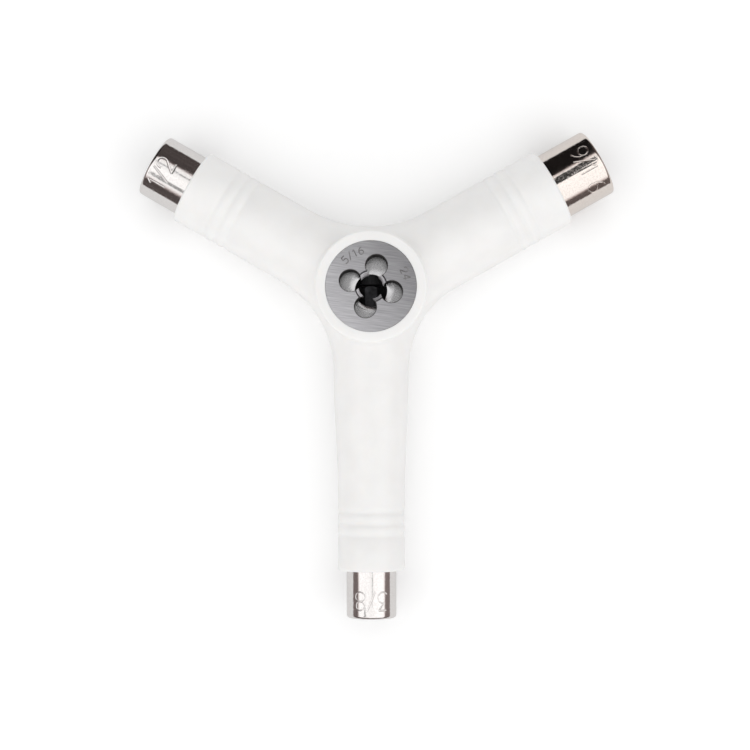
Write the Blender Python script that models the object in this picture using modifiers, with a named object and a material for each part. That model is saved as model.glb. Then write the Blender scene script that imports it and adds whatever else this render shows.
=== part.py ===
"""Y-shaped skate tool: three hex sockets in a moulded body, a threading die at the hub and a driver bar.

Metres, +Z up. The origin is on the hub's axis, at the flat back that the tool rests on.
The long arm, which holds the bar, points along -Y.
"""
import math
from collections import namedtuple

import bmesh
import bpy
from mathutils import Matrix

# Clearances and cutting allowances
seat_gap = 0.0003
cut_overrun = 0.002
merge_distance = 0.00001

# Facets round a turned piece, and segments in a quarter of the body's section
turned_steps = 40
fine_steps = 56
small_steps = 20
quarter_segments = 6
fillet_stations = 7
groove_stations = 4
taper_stations = 5
edge_stations = 3
cutter_turn = math.radians(2.3)
sharp_angle = math.radians(35)

# Sockets: hexes across their flats with their working clearance, and steel outside the hex's corners
hex_clearance = 0.0001
half_inch_across_flats = 0.0127
nine_sixteenths_across_flats = 0.0142875
three_eighths_across_flats = 0.009525
half_inch_wall = 0.00175
nine_sixteenths_wall = 0.00155
three_eighths_wall = 0.0016
half_inch_reach = 0.0124
nine_sixteenths_reach = 0.0148
three_eighths_reach = 0.0135
mouth_edge = 0.0009

# Their tails in the plastic, and the steel behind each recess
tail_length = 0.020
neck_from_end = 0.006
neck_width = 0.003
neck_depth = 0.0012
tail_flat_depth = 0.0009
half_inch_back = 0.0104
nine_sixteenths_back = 0.0078
bar_way_length = 0.0195
bit_hole_wall = 0.0024

# The three arms: directions, plastic round the sockets, length of the plastic and the long arm's taper
left_angle = math.radians(150)
right_angle = math.radians(29.3)
long_angle = math.radians(-90)
left_plastic_wall = 0.0017
right_plastic_wall = 0.0017
long_plastic_wall = 0.00235
left_arm_length = 0.0588
right_arm_length = 0.0593
long_arm_length = 0.080
long_arm_swell = 0.00115
long_arm_collar = 0.023
blend_overlap = 0.002
arm_end_edge = 0.0008

# How far each crotch stands out past the sides of the arms beside it
top_crotch_rise = 0.0041
left_crotch_rise = 0.0039
right_crotch_rise = 0.0032

# Grip grooves round each arm, measured from the end of its plastic
groove_count = 3
first_groove = 0.0100
groove_pitch = 0.0033
groove_half_width = 0.0008
groove_depth = 0.0004

# Hub: room under the arms and the moulding, and the round barrel that holds the die
arm_clearance = 0.0004
hub_clearance = 0.0003
lip_width = 0.0026
lip_proud = 0.0003
barrel_edge = 0.0009
well_radius = 0.0052

# Driver bar: quarter inch hex, its Phillips tip outward
bar_across_flats = 0.00635
bar_past_hub = 0.0008
bar_chamfer = 0.0006
tip_shank_radius = 0.0030
tip_shank_length = 0.012
tip_flat_radius = 0.0011
tip_cone_angle = math.radians(26.5)
tip_wings = 4
tip_wing_thickness = 0.0010
tip_flute_slope = math.radians(9)
tip_flute_length = 0.0075
tip_flute_width = 0.004

# Rod magnet past the bar's inner end
magnet_length = 0.008
magnet_chamfer = 0.0003

# Seat plate and threading die
plate_thickness = 0.0010
plate_hole_radius = 0.0046
plate_hole_chamfer = 0.0004
plate_hole_shift = 0.0006
die_diameter = 0.0254
die_thickness = 0.009525
die_edge = 0.0004
die_bore_radius = 0.00345
die_lead_radius = 0.0046
die_lead_depth = 0.0013
clearance_holes = 4
clearance_hole_radius = 0.00308
clearance_hole_orbit = 0.00595
first_hole_angle = math.radians(75)
dimple_radius = 0.0012

# Grub screws that press into the die's rim, from the two lower crotches
left_screw_angle = math.radians(210)
right_screw_angle = math.radians(330)
screw_radius = 0.0015
screw_inset = 0.0003
screw_point_radius = 0.0004
screw_hex_across_flats = 0.0015
screw_hex_depth = 0.0012

# Rear cap
foot_width = 0.0036
cap_flange_thickness = 0.0018
cap_plug_radius = 0.0085
cap_chamfer = 0.0003

# Sockets and arms worked out from the sizes above
hexagon_share = math.cos(math.pi / 6)
half_inch_radius = half_inch_across_flats / 2 / hexagon_share + half_inch_wall
nine_sixteenths_radius = nine_sixteenths_across_flats / 2 / hexagon_share + nine_sixteenths_wall
three_eighths_radius = three_eighths_across_flats / 2 / hexagon_share + three_eighths_wall
left_arm_radius = half_inch_radius + left_plastic_wall
right_arm_radius = nine_sixteenths_radius + right_plastic_wall
long_arm_end_radius = three_eighths_radius + long_plastic_wall
long_arm_hub_radius = long_arm_end_radius + long_arm_swell
arm_axis_height = max(left_arm_radius, right_arm_radius, long_arm_hub_radius) + arm_clearance
hub_half_height = arm_axis_height - hub_clearance

Crotch = namedtuple("Crotch", "distance half_pitch")


def crotch_between(first_angle, first_radius, next_angle, next_radius, rise):
    """Crotch of two neighbouring arms: its distance from the hub's axis, and half their angle."""
    half_pitch = (next_angle - first_angle) % (2 * math.pi) / 2
    return Crotch((max(first_radius, next_radius) + rise) / math.sin(half_pitch), half_pitch)


top_crotch = crotch_between(right_angle, right_arm_radius, left_angle, left_arm_radius, top_crotch_rise)
left_crotch = crotch_between(left_angle, left_arm_radius, long_angle, long_arm_hub_radius,
                             left_crotch_rise)
right_crotch = crotch_between(long_angle, long_arm_hub_radius, right_angle, right_arm_radius,
                              right_crotch_rise)

# Driver, magnet, die and hub worked out from the sizes above
bar_half_flats = bar_across_flats / 2
bar_corner_radius = bar_half_flats / hexagon_share
bar_length = long_arm_length - tail_length + bar_way_length + bar_past_hub - seat_gap
channel_radius = bar_corner_radius + seat_gap
magnet_radius = bar_half_flats
magnet_pocket_radius = magnet_radius + seat_gap
magnet_start = bar_past_hub + seat_gap
magnet_end = magnet_start + magnet_length
tip_cone_length = (tip_shank_radius - tip_flat_radius) / math.tan(tip_cone_angle)
die_radius = die_diameter / 2
die_pocket_radius = die_radius + seat_gap
barrel_radius = die_pocket_radius + lip_width
cap_flange_radius = barrel_radius - foot_width
pocket_floor = arm_axis_height + bar_half_flats + seat_gap / 2
plate_bottom = pocket_floor + seat_gap
die_bottom = plate_bottom + plate_thickness + seat_gap
die_middle = die_bottom + die_thickness / 2
lip_top = die_bottom + die_thickness + lip_proud
cap_top = arm_axis_height - bar_half_flats - seat_gap
cap_pocket_top = cap_top + seat_gap

Arm = namedtuple("Arm", "angle hub_radius end_radius length taper_end crotches")
Socket = namedtuple("Socket", "name arm across_flats radius reach back")

left_arm = Arm(left_angle, left_arm_radius, left_arm_radius, left_arm_length, left_arm_length,
               (top_crotch, left_crotch))
right_arm = Arm(right_angle, right_arm_radius, right_arm_radius, right_arm_length, right_arm_length,
                (right_crotch, top_crotch))
long_arm = Arm(long_angle, long_arm_hub_radius, long_arm_end_radius, long_arm_length,
               long_arm_length - long_arm_collar, (left_crotch, right_crotch))

half_inch = Socket("socket_half_inch", left_arm, half_inch_across_flats,
                   half_inch_radius, half_inch_reach, half_inch_back)
nine_sixteenths = Socket("socket_nine_sixteenths", right_arm, nine_sixteenths_across_flats,
                         nine_sixteenths_radius, nine_sixteenths_reach, nine_sixteenths_back)
three_eighths = Socket("socket_three_eighths", long_arm, three_eighths_across_flats,
                       three_eighths_radius, three_eighths_reach, bar_way_length)

# A clean scene with one collection for the pieces and one for their cutters
for old_object in list(bpy.data.objects):
    bpy.data.objects.remove(old_object, do_unlink=True)
pieces = bpy.data.collections.new("skate_tool")
cutters = bpy.data.collections.new("skate_tool_cutters")
bpy.context.scene.collection.children.link(pieces)
bpy.context.scene.collection.children.link(cutters)


def material(name, colour, roughness, metallic):
    """Principled finish of one piece."""
    finish = bpy.data.materials.new(name)
    finish.use_nodes = True
    shader = finish.node_tree.nodes["Principled BSDF"]
    shader.inputs["Base Color"].default_value = (*colour, 1.0)
    shader.inputs["Roughness"].default_value = roughness
    shader.inputs["Metallic"].default_value = metallic
    return finish


white_nylon = material("white_nylon", (0.86, 0.86, 0.85), 0.42, 0.0)
black_nylon = material("black_nylon", (0.015, 0.015, 0.016), 0.5, 0.0)
bright_plate = material("bright_plate", (0.78, 0.76, 0.73), 0.12, 1.0)
warm_plate = material("warm_plate", (0.78, 0.73, 0.69), 0.12, 1.0)
ground_steel = material("ground_steel", (0.45, 0.45, 0.47), 0.38, 1.0)
plain_steel = material("plain_steel", (0.55, 0.54, 0.54), 0.3, 1.0)
black_oxide = material("black_oxide", (0.03, 0.03, 0.035), 0.4, 0.6)
ferrite = material("ferrite", (0.02, 0.02, 0.022), 0.6, 0.1)


def mesh_from(edit, name):
    """Mesh made from a bmesh, shaded smooth between its sharp edges."""
    mesh = bpy.data.meshes.new(name)
    edit.to_mesh(mesh)
    edit.free()
    mesh.shade_smooth()
    mesh.set_sharp_from_angle(angle=sharp_angle)
    return mesh


def turned_mesh(name, profile, steps, ring=False, facet_turn=0.0):
    """Solid turned about Z; the profile's (radius, height) points run down its outer side."""
    points = [(radius, 0.0, height) for radius, height in profile]
    links = [(index, index + 1) for index in range(len(points) - 1)]
    if ring:
        links.append((len(points) - 1, 0))
    outline = bpy.data.meshes.new(name + "_profile")
    outline.from_pydata(points, links, [])
    turning = bpy.data.objects.new(name + "_profile", outline)
    cutters.objects.link(turning)
    screw = turning.modifiers.new("Turn", "SCREW")
    screw.steps = steps
    screw.render_steps = steps
    screw.use_merge_vertices = True
    screw.merge_threshold = merge_distance
    bpy.context.view_layer.update()
    evaluated = turning.evaluated_get(bpy.context.evaluated_depsgraph_get())
    solid = bpy.data.meshes.new_from_object(evaluated)
    bpy.data.objects.remove(turning)
    solid.name = name
    solid.transform(Matrix.Rotation(facet_turn, 4, "Z"))
    solid.shade_smooth()
    solid.set_sharp_from_angle(angle=sharp_angle)
    return solid


def hexagon_mesh(name, across_flats, start, end):
    """Hexagonal prism about Z between two heights, with a flat facing X."""
    edit = bmesh.new()
    radius = across_flats / 2 / hexagon_share
    bmesh.ops.create_cone(edit, cap_ends=True, segments=6, radius1=radius, radius2=radius,
                          depth=end - start, matrix=Matrix.Translation((0.0, 0.0, (start + end) / 2)))
    return mesh_from(edit, name)


def place(name, mesh, finish=None, angle=None, height=0.0):
    """Object of a mesh; an angle lays its Z axis along that direction on the arms' level."""
    new_object = bpy.data.objects.new(name, mesh)
    if angle is not None:
        new_object.rotation_euler = (0.0, math.pi / 2, angle)
    new_object.location = (0.0, 0.0, height)
    if finish:
        mesh.materials.clear()
        mesh.materials.append(finish)
        pieces.objects.link(new_object)
        new_object.parent = tool_frame
    else:
        new_object.hide_render = True
        new_object.display_type = "WIRE"
        cutters.objects.link(new_object)
    return new_object


def combine(target, tool, operation):
    """Boolean of one object by another."""
    step = target.modifiers.new(tool.name, "BOOLEAN")
    step.operation = operation
    step.object = tool


tool_frame = bpy.data.objects.new("tool_frame", None)
pieces.objects.link(tool_frame)


def eased(share):
    """Smooth step from nought to one."""
    share = min(max(share, 0.0), 1.0)
    return share * share * (3 - 2 * share)


def fillet_radius(arm, crotch):
    """Plan radius of the blend that leaves the arm's side and meets the crotch squarely."""
    slope = math.sin(crotch.half_pitch)
    return (crotch.distance * slope - arm.hub_radius) / (1 - slope)


def fillet_start(arm, crotch):
    """Distance along the arm at which its blend into the hub starts."""
    return (crotch.distance + fillet_radius(arm, crotch)) * math.cos(crotch.half_pitch)


def rim_point(arm, crotch, share):
    """Place on the outline, along and across the arm, from the blend's start (0) to the crotch (1)."""
    radius = fillet_radius(arm, crotch)
    turn = share * (math.pi / 2 - crotch.half_pitch)
    along = fillet_start(arm, crotch) - radius * math.sin(turn)
    across = arm.hub_radius + radius * (1 - math.cos(turn))
    return along, across


def arm_stations(arm):
    """Rows of ridge place, half height and the two rim points, from the hub out to the plastic's end."""
    starts = [fillet_start(arm, crotch) for crotch in arm.crotches]
    blend_start = sum(starts) / len(starts)
    arc_lengths = [fillet_radius(arm, crotch) * (math.pi / 2 - crotch.half_pitch)
                   for crotch in arm.crotches]
    first_rate = 2 - sum(arc_lengths) / len(arc_lengths) / blend_start
    rows = []
    for index in range(fillet_stations, -1, -1):
        share = index / fillet_stations
        ridge = blend_start * (1 - share) ** 2 * (1 + first_rate * share)
        half_height = arm.hub_radius + (hub_half_height - arm.hub_radius) * eased(share)
        rows.append((ridge, half_height, [rim_point(arm, crotch, share) for crotch in arm.crotches]))
    straight_start = max(starts) + blend_overlap
    for along, radius in arm_outline(arm, straight_start):
        rows.append((along, radius, [(along, radius)] * 2))
    return rows


def arm_radius(arm, along, straight_start):
    """Radius of the arm's round section past the hub's blend, before its grooves."""
    taper = eased((along - straight_start) / (arm.taper_end - straight_start))
    return arm.hub_radius + (arm.end_radius - arm.hub_radius) * taper


def arm_outline(arm, straight_start):
    """Points of distance and radius down the arm's side: taper, grip grooves and rounded end."""
    outline = [(straight_start, arm.hub_radius)]
    last_groove = first_groove + groove_pitch * (groove_count - 1)
    taper_run = arm.length - last_groove - groove_half_width - blend_overlap - straight_start
    if arm.hub_radius != arm.end_radius:
        for index in range(1, taper_stations + 1):
            along = straight_start + taper_run * index / taper_stations
            outline.append((along, arm_radius(arm, along, straight_start)))
    for groove in range(groove_count - 1, -1, -1):
        centre = arm.length - first_groove - groove_pitch * groove
        for index in range(groove_stations + 1):
            offset = 2 * index / groove_stations - 1
            along = centre + offset * groove_half_width
            depth = groove_depth * (1 - offset * offset)
            outline.append((along, arm_radius(arm, along, straight_start) - depth))
    for index in range(edge_stations + 1):
        turn = math.pi / 2 * index / edge_stations
        outline.append((arm.length - arm_end_edge * (1 - math.sin(turn)),
                        arm.end_radius - arm_end_edge * (1 - math.cos(turn))))
    return outline


def body_mesh():
    """The moulding: each half arm is a row of half-ellipse sections from its ridge round its rim."""
    edit = bmesh.new()
    for arm in (left_arm, right_arm, long_arm):
        stations = arm_stations(arm)
        for side in (0, 1):
            across_sign = 1 if side else -1
            grid = []
            for ridge, half_height, rims in stations:
                rim_along, rim_across = rims[side]
                row = []
                for index in range(2 * quarter_segments + 1):
                    turn = math.pi * index / (2 * quarter_segments)
                    reach = math.sin(turn)
                    along = ridge + (rim_along - ridge) * reach
                    across = rim_across * reach * across_sign
                    x = along * math.cos(arm.angle) - across * math.sin(arm.angle)
                    y = along * math.sin(arm.angle) + across * math.cos(arm.angle)
                    row.append(edit.verts.new((x, y, arm_axis_height + half_height * math.cos(turn))))
                grid.append(row)
            for inner, outer in zip(grid, grid[1:]):
                for index in range(2 * quarter_segments):
                    edit.faces.new((inner[index], inner[index + 1], outer[index + 1], outer[index]))
    bmesh.ops.remove_doubles(edit, verts=edit.verts, dist=merge_distance)
    bmesh.ops.holes_fill(edit, edges=[edge for edge in edit.edges if edge.is_boundary])
    bmesh.ops.recalc_face_normals(edit, faces=edit.faces)
    return mesh_from(edit, "handle_body")


def rounded_edge(radius, height, edge, upward):
    """Quarter round of a turned profile, running outward and down, or inward and down."""
    points = []
    for index in range(edge_stations + 1):
        turn = math.pi / 2 * index / edge_stations
        if upward:
            points.append((radius - edge * (1 - math.sin(turn)), height - edge * (1 - math.cos(turn))))
        else:
            points.append((radius - edge * (1 - math.cos(turn)), height + edge * (1 - math.sin(turn))))
    return points


def socket_blank(socket, name, grow, finish=None):
    """A socket's outside with its neck and tail flats; grown by a clearance, its pocket in the plastic."""
    plastic_end = socket.arm.length
    mouth = plastic_end + socket.reach + grow
    neck_top = plastic_end - neck_from_end - grow
    neck_bottom = plastic_end - neck_from_end - neck_width + grow
    tail = plastic_end - tail_length - grow
    radius = socket.radius + grow
    neck_radius = radius - neck_depth
    profile = [(0.0, mouth)]
    profile += rounded_edge(radius, mouth, mouth_edge, upward=True)
    profile += [(radius, neck_top), (neck_radius, neck_top), (neck_radius, neck_bottom),
                (radius, neck_bottom), (radius, tail), (0.0, tail)]
    turned = turned_mesh(name, profile, turned_steps)
    blank = place(name, turned, finish, socket.arm.angle, arm_axis_height)
    flats = bmesh.new()
    flat_place = radius - tail_flat_depth
    flat_length = neck_bottom + neck_width / 2 - tail + cut_overrun
    for side in (-1, 1):
        corner = Matrix.Translation((0.0, side * (flat_place + cut_overrun / 2),
                                     tail - cut_overrun + flat_length / 2))
        size = Matrix.Diagonal((2 * radius, cut_overrun, flat_length, 1.0))
        bmesh.ops.create_cube(flats, size=1.0, matrix=corner @ size)
    flats_name = name + "_flats"
    combine(blank, place(flats_name, mesh_from(flats, flats_name), None, socket.arm.angle, arm_axis_height),
            "DIFFERENCE")
    return blank


def hex_cut(target, name, across_flats, start, end, angle, height=arm_axis_height):
    """Cut a hexagonal hole between two distances along a direction."""
    hole = hexagon_mesh(name, across_flats, start, end)
    combine(target, place(name, hole, None, angle, height), "DIFFERENCE")


def build_socket(socket, finish):
    """One plated socket: turned blank with its hex recess."""
    piece = socket_blank(socket, socket.name, 0.0, finish)
    mouth = socket.arm.length + socket.reach
    hex_cut(piece, socket.name + "_hex", socket.across_flats + hex_clearance,
            socket.arm.length - tail_length + socket.back, mouth + cut_overrun, socket.arm.angle)
    return piece


# Body: the moulding joined with the hub's barrel, then its cavities
body = place("handle_body", body_mesh(), white_nylon)
barrel_profile = [(0.0, lip_top)]
barrel_profile += rounded_edge(barrel_radius, lip_top, barrel_edge, upward=True)
barrel_profile += rounded_edge(barrel_radius, 0.0, barrel_edge, upward=False)
barrel_profile += [(0.0, 0.0)]
combine(body, place("hub_barrel", turned_mesh("hub_barrel", barrel_profile, fine_steps)), "UNION")

hub_bore_profile = [
    (0.0, lip_top + cut_overrun),
    (die_pocket_radius, lip_top + cut_overrun),
    (die_pocket_radius, pocket_floor),
    (well_radius, pocket_floor),
    (well_radius, cap_pocket_top),
    (cap_plug_radius + seat_gap, cap_pocket_top),
    (cap_plug_radius + seat_gap, cap_flange_thickness + seat_gap),
    (cap_flange_radius + seat_gap, cap_flange_thickness + seat_gap),
    (cap_flange_radius + seat_gap, -cut_overrun),
    (0.0, -cut_overrun),
]
hub_bore = turned_mesh("hub_bore", hub_bore_profile, fine_steps, facet_turn=cutter_turn)
combine(body, place("hub_bore", hub_bore), "DIFFERENCE")

channel_end = long_arm.length - tail_length
channel_profile = [(0.0, channel_end), (channel_radius, channel_end), (channel_radius, 0.0), (0.0, 0.0)]
channel = turned_mesh("bar_channel", channel_profile, small_steps, facet_turn=cutter_turn)
combine(body, place("bar_channel", channel, None, long_angle, arm_axis_height), "DIFFERENCE")

pocket_end = magnet_end + seat_gap
magnet_pocket_profile = [(0.0, 0.0), (magnet_pocket_radius, 0.0), (magnet_pocket_radius, -pocket_end),
                         (0.0, -pocket_end)]
magnet_pocket = turned_mesh("magnet_pocket", magnet_pocket_profile, small_steps, facet_turn=cutter_turn)
combine(body, place("magnet_pocket", magnet_pocket, None, long_angle, arm_axis_height), "DIFFERENCE")

for socket in (half_inch, nine_sixteenths, three_eighths):
    combine(body, socket_blank(socket, socket.name + "_pocket", seat_gap), "DIFFERENCE")

for screw_angle in (left_screw_angle, right_screw_angle):
    start = die_radius - dimple_radius
    end = barrel_radius + cut_overrun
    hole_radius = screw_radius + seat_gap
    screw_hole_profile = [(0.0, end), (hole_radius, end), (hole_radius, start), (0.0, start)]
    screw_hole = turned_mesh("screw_hole", screw_hole_profile, small_steps, facet_turn=cutter_turn)
    combine(body, place("screw_hole", screw_hole, None, screw_angle, die_middle), "DIFFERENCE")

# Rear cap
cap_profile = [(0.0, cap_top), (cap_plug_radius, cap_top), (cap_plug_radius, cap_flange_thickness),
               (cap_flange_radius, cap_flange_thickness), (cap_flange_radius, cap_chamfer),
               (cap_flange_radius - cap_chamfer, 0.0), (0.0, 0.0)]
place("rear_cap", turned_mesh("rear_cap", cap_profile, turned_steps), black_nylon)

# Seat plate under the die, with its chamfered hole a little toward the long arm
plate_profile = [(0.0, plate_thickness), (die_radius, plate_thickness), (die_radius, 0.0), (0.0, 0.0)]
plate = place("die_seat_plate", turned_mesh("die_seat_plate", plate_profile, fine_steps),
              plain_steel, height=plate_bottom)
chamfer_reach = plate_hole_radius + plate_hole_chamfer + cut_overrun
chamfer_top = plate_thickness + cut_overrun
plate_hole_profile = [(0.0, chamfer_top), (chamfer_reach, chamfer_top),
                      (plate_hole_radius, plate_thickness - plate_hole_chamfer),
                      (plate_hole_radius, -cut_overrun), (0.0, -cut_overrun)]
plate_hole = place("plate_hole", turned_mesh("plate_hole", plate_hole_profile, turned_steps))
plate_hole.location = (0.0, -plate_hole_shift, plate_bottom)
combine(plate, plate_hole, "DIFFERENCE")

# Threading die, with its clearance holes and the dimples for its screws
die_profile = [(die_lead_radius, die_thickness), (die_radius - die_edge, die_thickness),
               (die_radius, die_thickness - die_edge), (die_radius, die_edge), (die_radius - die_edge, 0.0),
               (die_lead_radius, 0.0), (die_bore_radius, die_lead_depth),
               (die_bore_radius, die_thickness - die_lead_depth)]
die = place("threading_die", turned_mesh("threading_die", die_profile, fine_steps, ring=True),
            ground_steel, height=die_bottom)
holes = bmesh.new()
for index in range(clearance_holes):
    hole_angle = first_hole_angle + 2 * math.pi * index / clearance_holes
    hole_place = Matrix.Translation((clearance_hole_orbit * math.cos(hole_angle),
                                     clearance_hole_orbit * math.sin(hole_angle), die_middle))
    bmesh.ops.create_cone(holes, cap_ends=True, segments=small_steps,
                          radius1=clearance_hole_radius, radius2=clearance_hole_radius,
                          depth=die_thickness + cut_overrun, matrix=hole_place)
combine(die, place("clearance_holes", mesh_from(holes, "clearance_holes")), "DIFFERENCE")
for screw_angle in (left_screw_angle, right_screw_angle):
    dimple_profile = [(0.0, die_radius + dimple_radius), (2 * dimple_radius, die_radius + dimple_radius),
                      (0.0, die_radius - dimple_radius)]
    dimple = turned_mesh("rim_dimple", dimple_profile, small_steps, facet_turn=cutter_turn)
    combine(die, place("rim_dimple", dimple, None, screw_angle, die_middle), "DIFFERENCE")

# Grub screws, one on each side
screw_start = die_radius + seat_gap
screw_end = barrel_radius - screw_inset
point_start = screw_start - dimple_radius + screw_point_radius
screw_profile = [(0.0, screw_end), (screw_radius, screw_end), (screw_radius, screw_start),
                 (dimple_radius, screw_start), (screw_point_radius, point_start), (0.0, point_start)]
for side, screw_angle in (("left", left_screw_angle), ("right", right_screw_angle)):
    screw_name = "grub_screw_" + side
    grub_screw = place(screw_name, turned_mesh(screw_name, screw_profile, small_steps), black_oxide,
                       screw_angle, die_middle)
    hex_cut(grub_screw, screw_name + "_hex", screw_hex_across_flats, screw_end - screw_hex_depth,
            screw_end + cut_overrun, screw_angle, die_middle)

# Sockets
short_socket = build_socket(half_inch, bright_plate)
short_tail = left_arm.length - tail_length
hex_cut(short_socket, "bit_hole", bar_across_flats + hex_clearance, short_tail + bit_hole_wall,
        short_tail + half_inch.back + cut_overrun, left_angle)
build_socket(nine_sixteenths, warm_plate)
long_socket = build_socket(three_eighths, bright_plate)
long_tail = long_arm.length - tail_length
hex_cut(long_socket, "bar_way", bar_across_flats + 2 * seat_gap, long_tail - cut_overrun,
        long_tail + three_eighths.back + cut_overrun, long_angle)

# Driver bar, with its origin on the slide's axis at its inner end
cone_start = bar_length - tip_cone_length
shank_start = bar_length - tip_shank_length
bar_profile = [(0.0, bar_length), (tip_flat_radius, bar_length), (tip_shank_radius, cone_start),
               (tip_shank_radius, shank_start), (bar_corner_radius, shank_start - bar_chamfer),
               (bar_corner_radius, bar_chamfer), (bar_corner_radius - bar_chamfer, 0.0), (0.0, 0.0)]
bar = place("driver_bar", turned_mesh("driver_bar", bar_profile, turned_steps), black_oxide, long_angle)
bar.location = (0.0, bar_past_hub, arm_axis_height)
bar_stock = hexagon_mesh("bar_hex", bar_across_flats, -cut_overrun, bar_length + cut_overrun)
bar_hex = place("bar_hex", bar_stock, None, long_angle)
bar_hex.location = bar.location
combine(bar, bar_hex, "INTERSECT")
flutes = bmesh.new()
for index in range(tip_wings):
    quadrant = Matrix.Rotation(math.pi * (2 * index + 1) / tip_wings, 4, "Z")
    edge_reach = tip_wing_thickness / 2 * math.sqrt(2)
    lean = (Matrix.Translation((edge_reach, 0.0, bar_length)) @ Matrix.Rotation(-tip_flute_slope, 4, "Y")
            @ Matrix.Rotation(math.pi / 4, 4, "Z"))
    centre = Matrix.Translation((tip_flute_width / 2, -tip_flute_width / 2,
                                 cut_overrun - tip_flute_length / 2))
    size = Matrix.Diagonal((tip_flute_width, tip_flute_width, tip_flute_length, 1.0))
    bmesh.ops.create_cube(flutes, size=1.0, matrix=quadrant @ lean @ centre @ size)
bar_flutes = place("bar_flutes", mesh_from(flutes, "bar_flutes"), None, long_angle)
bar_flutes.location = bar.location
combine(bar, bar_flutes, "DIFFERENCE")

# Rod magnet behind the bar
magnet_profile = [(0.0, -magnet_start), (magnet_radius - magnet_chamfer, -magnet_start),
                  (magnet_radius, -magnet_start - magnet_chamfer),
                  (magnet_radius, -magnet_end + magnet_chamfer),
                  (magnet_radius - magnet_chamfer, -magnet_end), (0.0, -magnet_end)]
place("driver_magnet", turned_mesh("driver_magnet", magnet_profile, small_steps), ferrite,
      long_angle, arm_axis_height)
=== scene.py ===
"""Looks of a Y-shaped skate tool: moulded body, three plated sockets, threading die and driver bar.

Metres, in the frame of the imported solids: +Z out of the hub, the long arm along -Y.
"""
from collections import namedtuple
from math import atan2, cos, dist, pi, radians, sin, sqrt, tan, tau

import bmesh
import bpy
from mathutils import Matrix, Vector
from mathutils.bvhtree import BVHTree


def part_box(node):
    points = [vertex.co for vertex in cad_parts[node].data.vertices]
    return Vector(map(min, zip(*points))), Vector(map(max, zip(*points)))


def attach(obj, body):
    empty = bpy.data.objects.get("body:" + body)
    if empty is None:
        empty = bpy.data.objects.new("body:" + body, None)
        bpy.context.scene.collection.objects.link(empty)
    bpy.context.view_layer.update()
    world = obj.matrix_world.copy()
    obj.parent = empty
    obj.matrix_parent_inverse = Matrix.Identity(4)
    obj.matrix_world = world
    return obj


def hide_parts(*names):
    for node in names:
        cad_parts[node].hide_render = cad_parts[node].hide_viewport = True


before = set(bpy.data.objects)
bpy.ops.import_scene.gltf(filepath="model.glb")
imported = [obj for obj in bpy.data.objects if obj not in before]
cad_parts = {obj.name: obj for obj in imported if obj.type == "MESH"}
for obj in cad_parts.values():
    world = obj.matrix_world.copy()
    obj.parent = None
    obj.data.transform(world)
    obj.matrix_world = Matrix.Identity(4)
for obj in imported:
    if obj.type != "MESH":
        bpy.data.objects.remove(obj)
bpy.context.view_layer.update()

# Moulded body. White nylon, injected in one shot round the tails of the three sockets. Its round arms blend
# into the hub, where a raised barrel holds the die, and each arm has three shallow grip grooves. A faint
# parting line runs round it at the level where the two halves of the mould met.
Arm = namedtuple("Arm", "name angle across_flats socket_wall plastic_wall swell length collar reach")
Crotch = namedtuple("Crotch", "distance half_pitch")
left_arm = Arm("half_inch", radians(150), 0.0127, 0.00175, 0.0017, 0.0, 0.0588, 0.0, 0.0124)
right_arm = Arm("nine_sixteenths", radians(29.3), 0.0142875, 0.00155, 0.0017, 0.0, 0.0593, 0.0, 0.0148)
long_arm = Arm("three_eighths", radians(-90), 0.009525, 0.0016, 0.00235, 0.00115, 0.080, 0.023, 0.0135)
arms = (left_arm, right_arm, long_arm)
top_rise = 0.0041
left_rise = 0.0039
right_rise = 0.0032
arm_clearance = 0.0004
hub_clearance = 0.0003
tail_length = 0.020
tail_clearance = 0.0003
fit_gap = 0.00004
groove_places = (0.0166, 0.0133, 0.0100)
groove_half_width = 0.0008
groove_depth = 0.00025
groove_rows = 5
groove_clearance = 0.001
blend_clearance = 0.002
end_edge = 0.0008
parted_rows = 3
parting_height = 0.00005
parting_half_width = 0.00014
quarter_points = 24
quarter_share = 0.985
blend_rows = 26
taper_rows = 16
lip_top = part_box("handle_body")[1].z
die_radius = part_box("threading_die")[1].x
die_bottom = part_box("threading_die")[0].z
die_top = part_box("threading_die")[1].z
plate_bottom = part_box("die_seat_plate")[0].z
plate_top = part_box("die_seat_plate")[1].z
lip_width = 0.0029
barrel_edge = 0.0006
lip_edge = 0.0001
base_blend = 0.0012
base_rows = 10
ball_places = 12
ball_sink = 0.000008
least_rise = 0.002
skirt_width = 0.0004
skirt_sink = 0.00004
barrel_steps = 192
channel_steps = 72
hole_steps = 48
overrun = 0.001
sharp_angle = radians(32)
outward = Matrix.Rotation(pi / 2, 4, "Y")
well_radius = 0.0052
cap_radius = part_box("rear_cap")[1].x
cap_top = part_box("rear_cap")[1].z
cap_plug_radius = 0.0085
cap_flange = 0.0018
bar_across_flats = 0.00635
screw_radius = 0.0015
screw_angles = (radians(210), radians(330))


def hex_corner(across_flats):
    """Distance of a hexagon's corners from its middle."""
    return across_flats / 2 / cos(pi / 6)


def polar(radius, angle, height):
    """Point at a radius and an angle round Z."""
    return radius * cos(angle), radius * sin(angle), height


def socket_radius(arm):
    """Outside of the plated socket in an arm."""
    return hex_corner(arm.across_flats) + arm.socket_wall


def end_radius(arm):
    """Outside of an arm's plastic at the socket."""
    return socket_radius(arm) + arm.plastic_wall


def hub_radius(arm):
    """Outside of an arm's plastic where it leaves the hub."""
    return end_radius(arm) + arm.swell


arm_level = max(hub_radius(arm) for arm in arms) + arm_clearance
hub_half_height = arm_level - hub_clearance


def crotch_between(first, following, rise):
    """Where the plastic turns from one arm into the next, and half the angle between the two."""
    half_pitch = (following.angle - first.angle) % tau / 2
    return Crotch((max(hub_radius(first), hub_radius(following)) + rise) / sin(half_pitch), half_pitch)


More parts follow.
